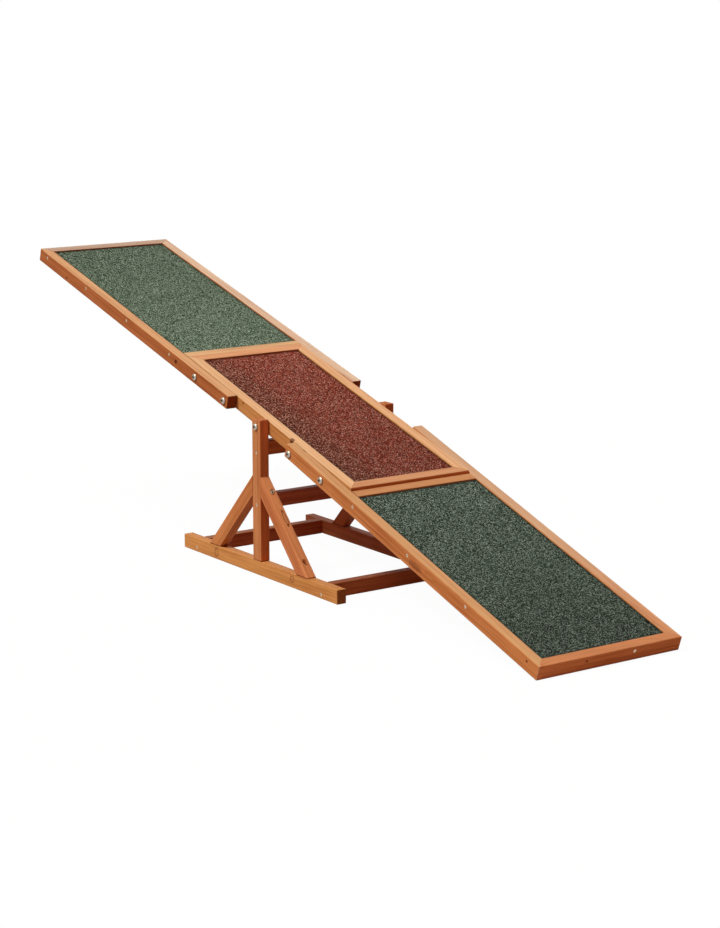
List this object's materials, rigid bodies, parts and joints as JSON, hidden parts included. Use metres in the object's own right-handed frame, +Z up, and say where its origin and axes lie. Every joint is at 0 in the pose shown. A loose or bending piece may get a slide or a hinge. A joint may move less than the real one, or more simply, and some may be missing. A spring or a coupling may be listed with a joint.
{
  "type": "agility seesaw",
  "caption": "Low agility seesaw for small pets: a framed plank deck in three sections with grit panels, rocking on bolts between the posts of a braced stand.",
  "frame": {"origin": "on the ground, under the pivot, midway between the side frames; 5 mm from the middle of the bounding box in X", "axes": "+X along the deck to the end that is on the ground, +Y across it, +Z up"},
  "size_m": [1.6464, 0.3092, 0.5226],
  "materials": {
    "deck_wood": "orange-brown stained softwood, satin",
    "stand_wood": "orange-brown stained softwood, satin",
    "board_wood": "bare plywood board, matt",
    "green_grit": "grey-green mineral grit on a bitumen sheet, rough",
    "red_grit": "red-brown mineral grit on a bitumen sheet, rough",
    "bolt_steel": "bright zinc-plated steel",
    "insert_zinc": "yellow zinc-plated steel"
  },
  "bodies": {
    "stand": {"base_cross_rail_high": "stand_wood", "base_cross_rail_low": "stand_wood", "base_rail_back": "stand_wood", "base_rail_front": "stand_wood", "brace_back_high": "stand_wood", "brace_back_low": "stand_wood", "brace_front_high": "stand_wood", "brace_front_low": "stand_wood", "post_back": "stand_wood", "post_cross_rail_middle": "stand_wood", "post_cross_rail_top": "stand_wood", "post_front": "stand_wood"},
    "deck": {"arm_bolt_high_back_inner": "bolt_steel", "arm_bolt_high_back_outer": "bolt_steel", "arm_bolt_high_front_inner": "bolt_steel", "arm_bolt_high_front_outer": "bolt_steel", "arm_bolt_low_back_inner": "bolt_steel", "arm_bolt_low_back_outer": "bolt_steel", "arm_bolt_low_front_inner": "bolt_steel", "arm_bolt_low_front_outer": "bolt_steel", "arm_insert_high_back_inner": "insert_zinc", "arm_insert_high_back_outer": "insert_zinc", "arm_insert_high_front_inner": "insert_zinc", "arm_insert_high_front_outer": "insert_zinc", "arm_insert_low_back_inner": "insert_zinc", "arm_insert_low_back_outer": "insert_zinc", "arm_insert_low_front_inner": "insert_zinc", "arm_insert_low_front_outer": "insert_zinc", "high_section_board": "board_wood", "high_section_cross_rail": "deck_wood", "high_section_end_rail": "deck_wood", "high_section_grit_sheet": "green_grit", "high_section_rail_back": "deck_wood", "high_section_rail_front": "deck_wood", "low_section_board": "board_wood", "low_section_cross_rail": "deck_wood", "low_section_end_rail": "deck_wood", "low_section_grit_sheet": "green_grit", "low_section_rail_back": "deck_wood", "low_section_rail_front": "deck_wood", "middle_board": "board_wood", "middle_end_rail_high": "deck_wood", "middle_end_rail_low": "deck_wood", "middle_grit_sheet": "red_grit", "middle_rail_back": "deck_wood", "middle_rail_front": "deck_wood", "pivot_bolt_back": "bolt_steel", "pivot_bolt_front": "bolt_steel", "pivot_insert_back": "insert_zinc", "pivot_insert_front": "insert_zinc", "pivot_washer_back": "bolt_steel", "pivot_washer_front": "bolt_steel"}
  },
  "joints": [
    {"name": "deck_pivot", "type": "hinge", "parent": "stand", "child": "deck", "pos_m": [0, 0, 0.277], "axis": [0, 1, 0], "range_deg": [-33.85, 0]}
  ]
}
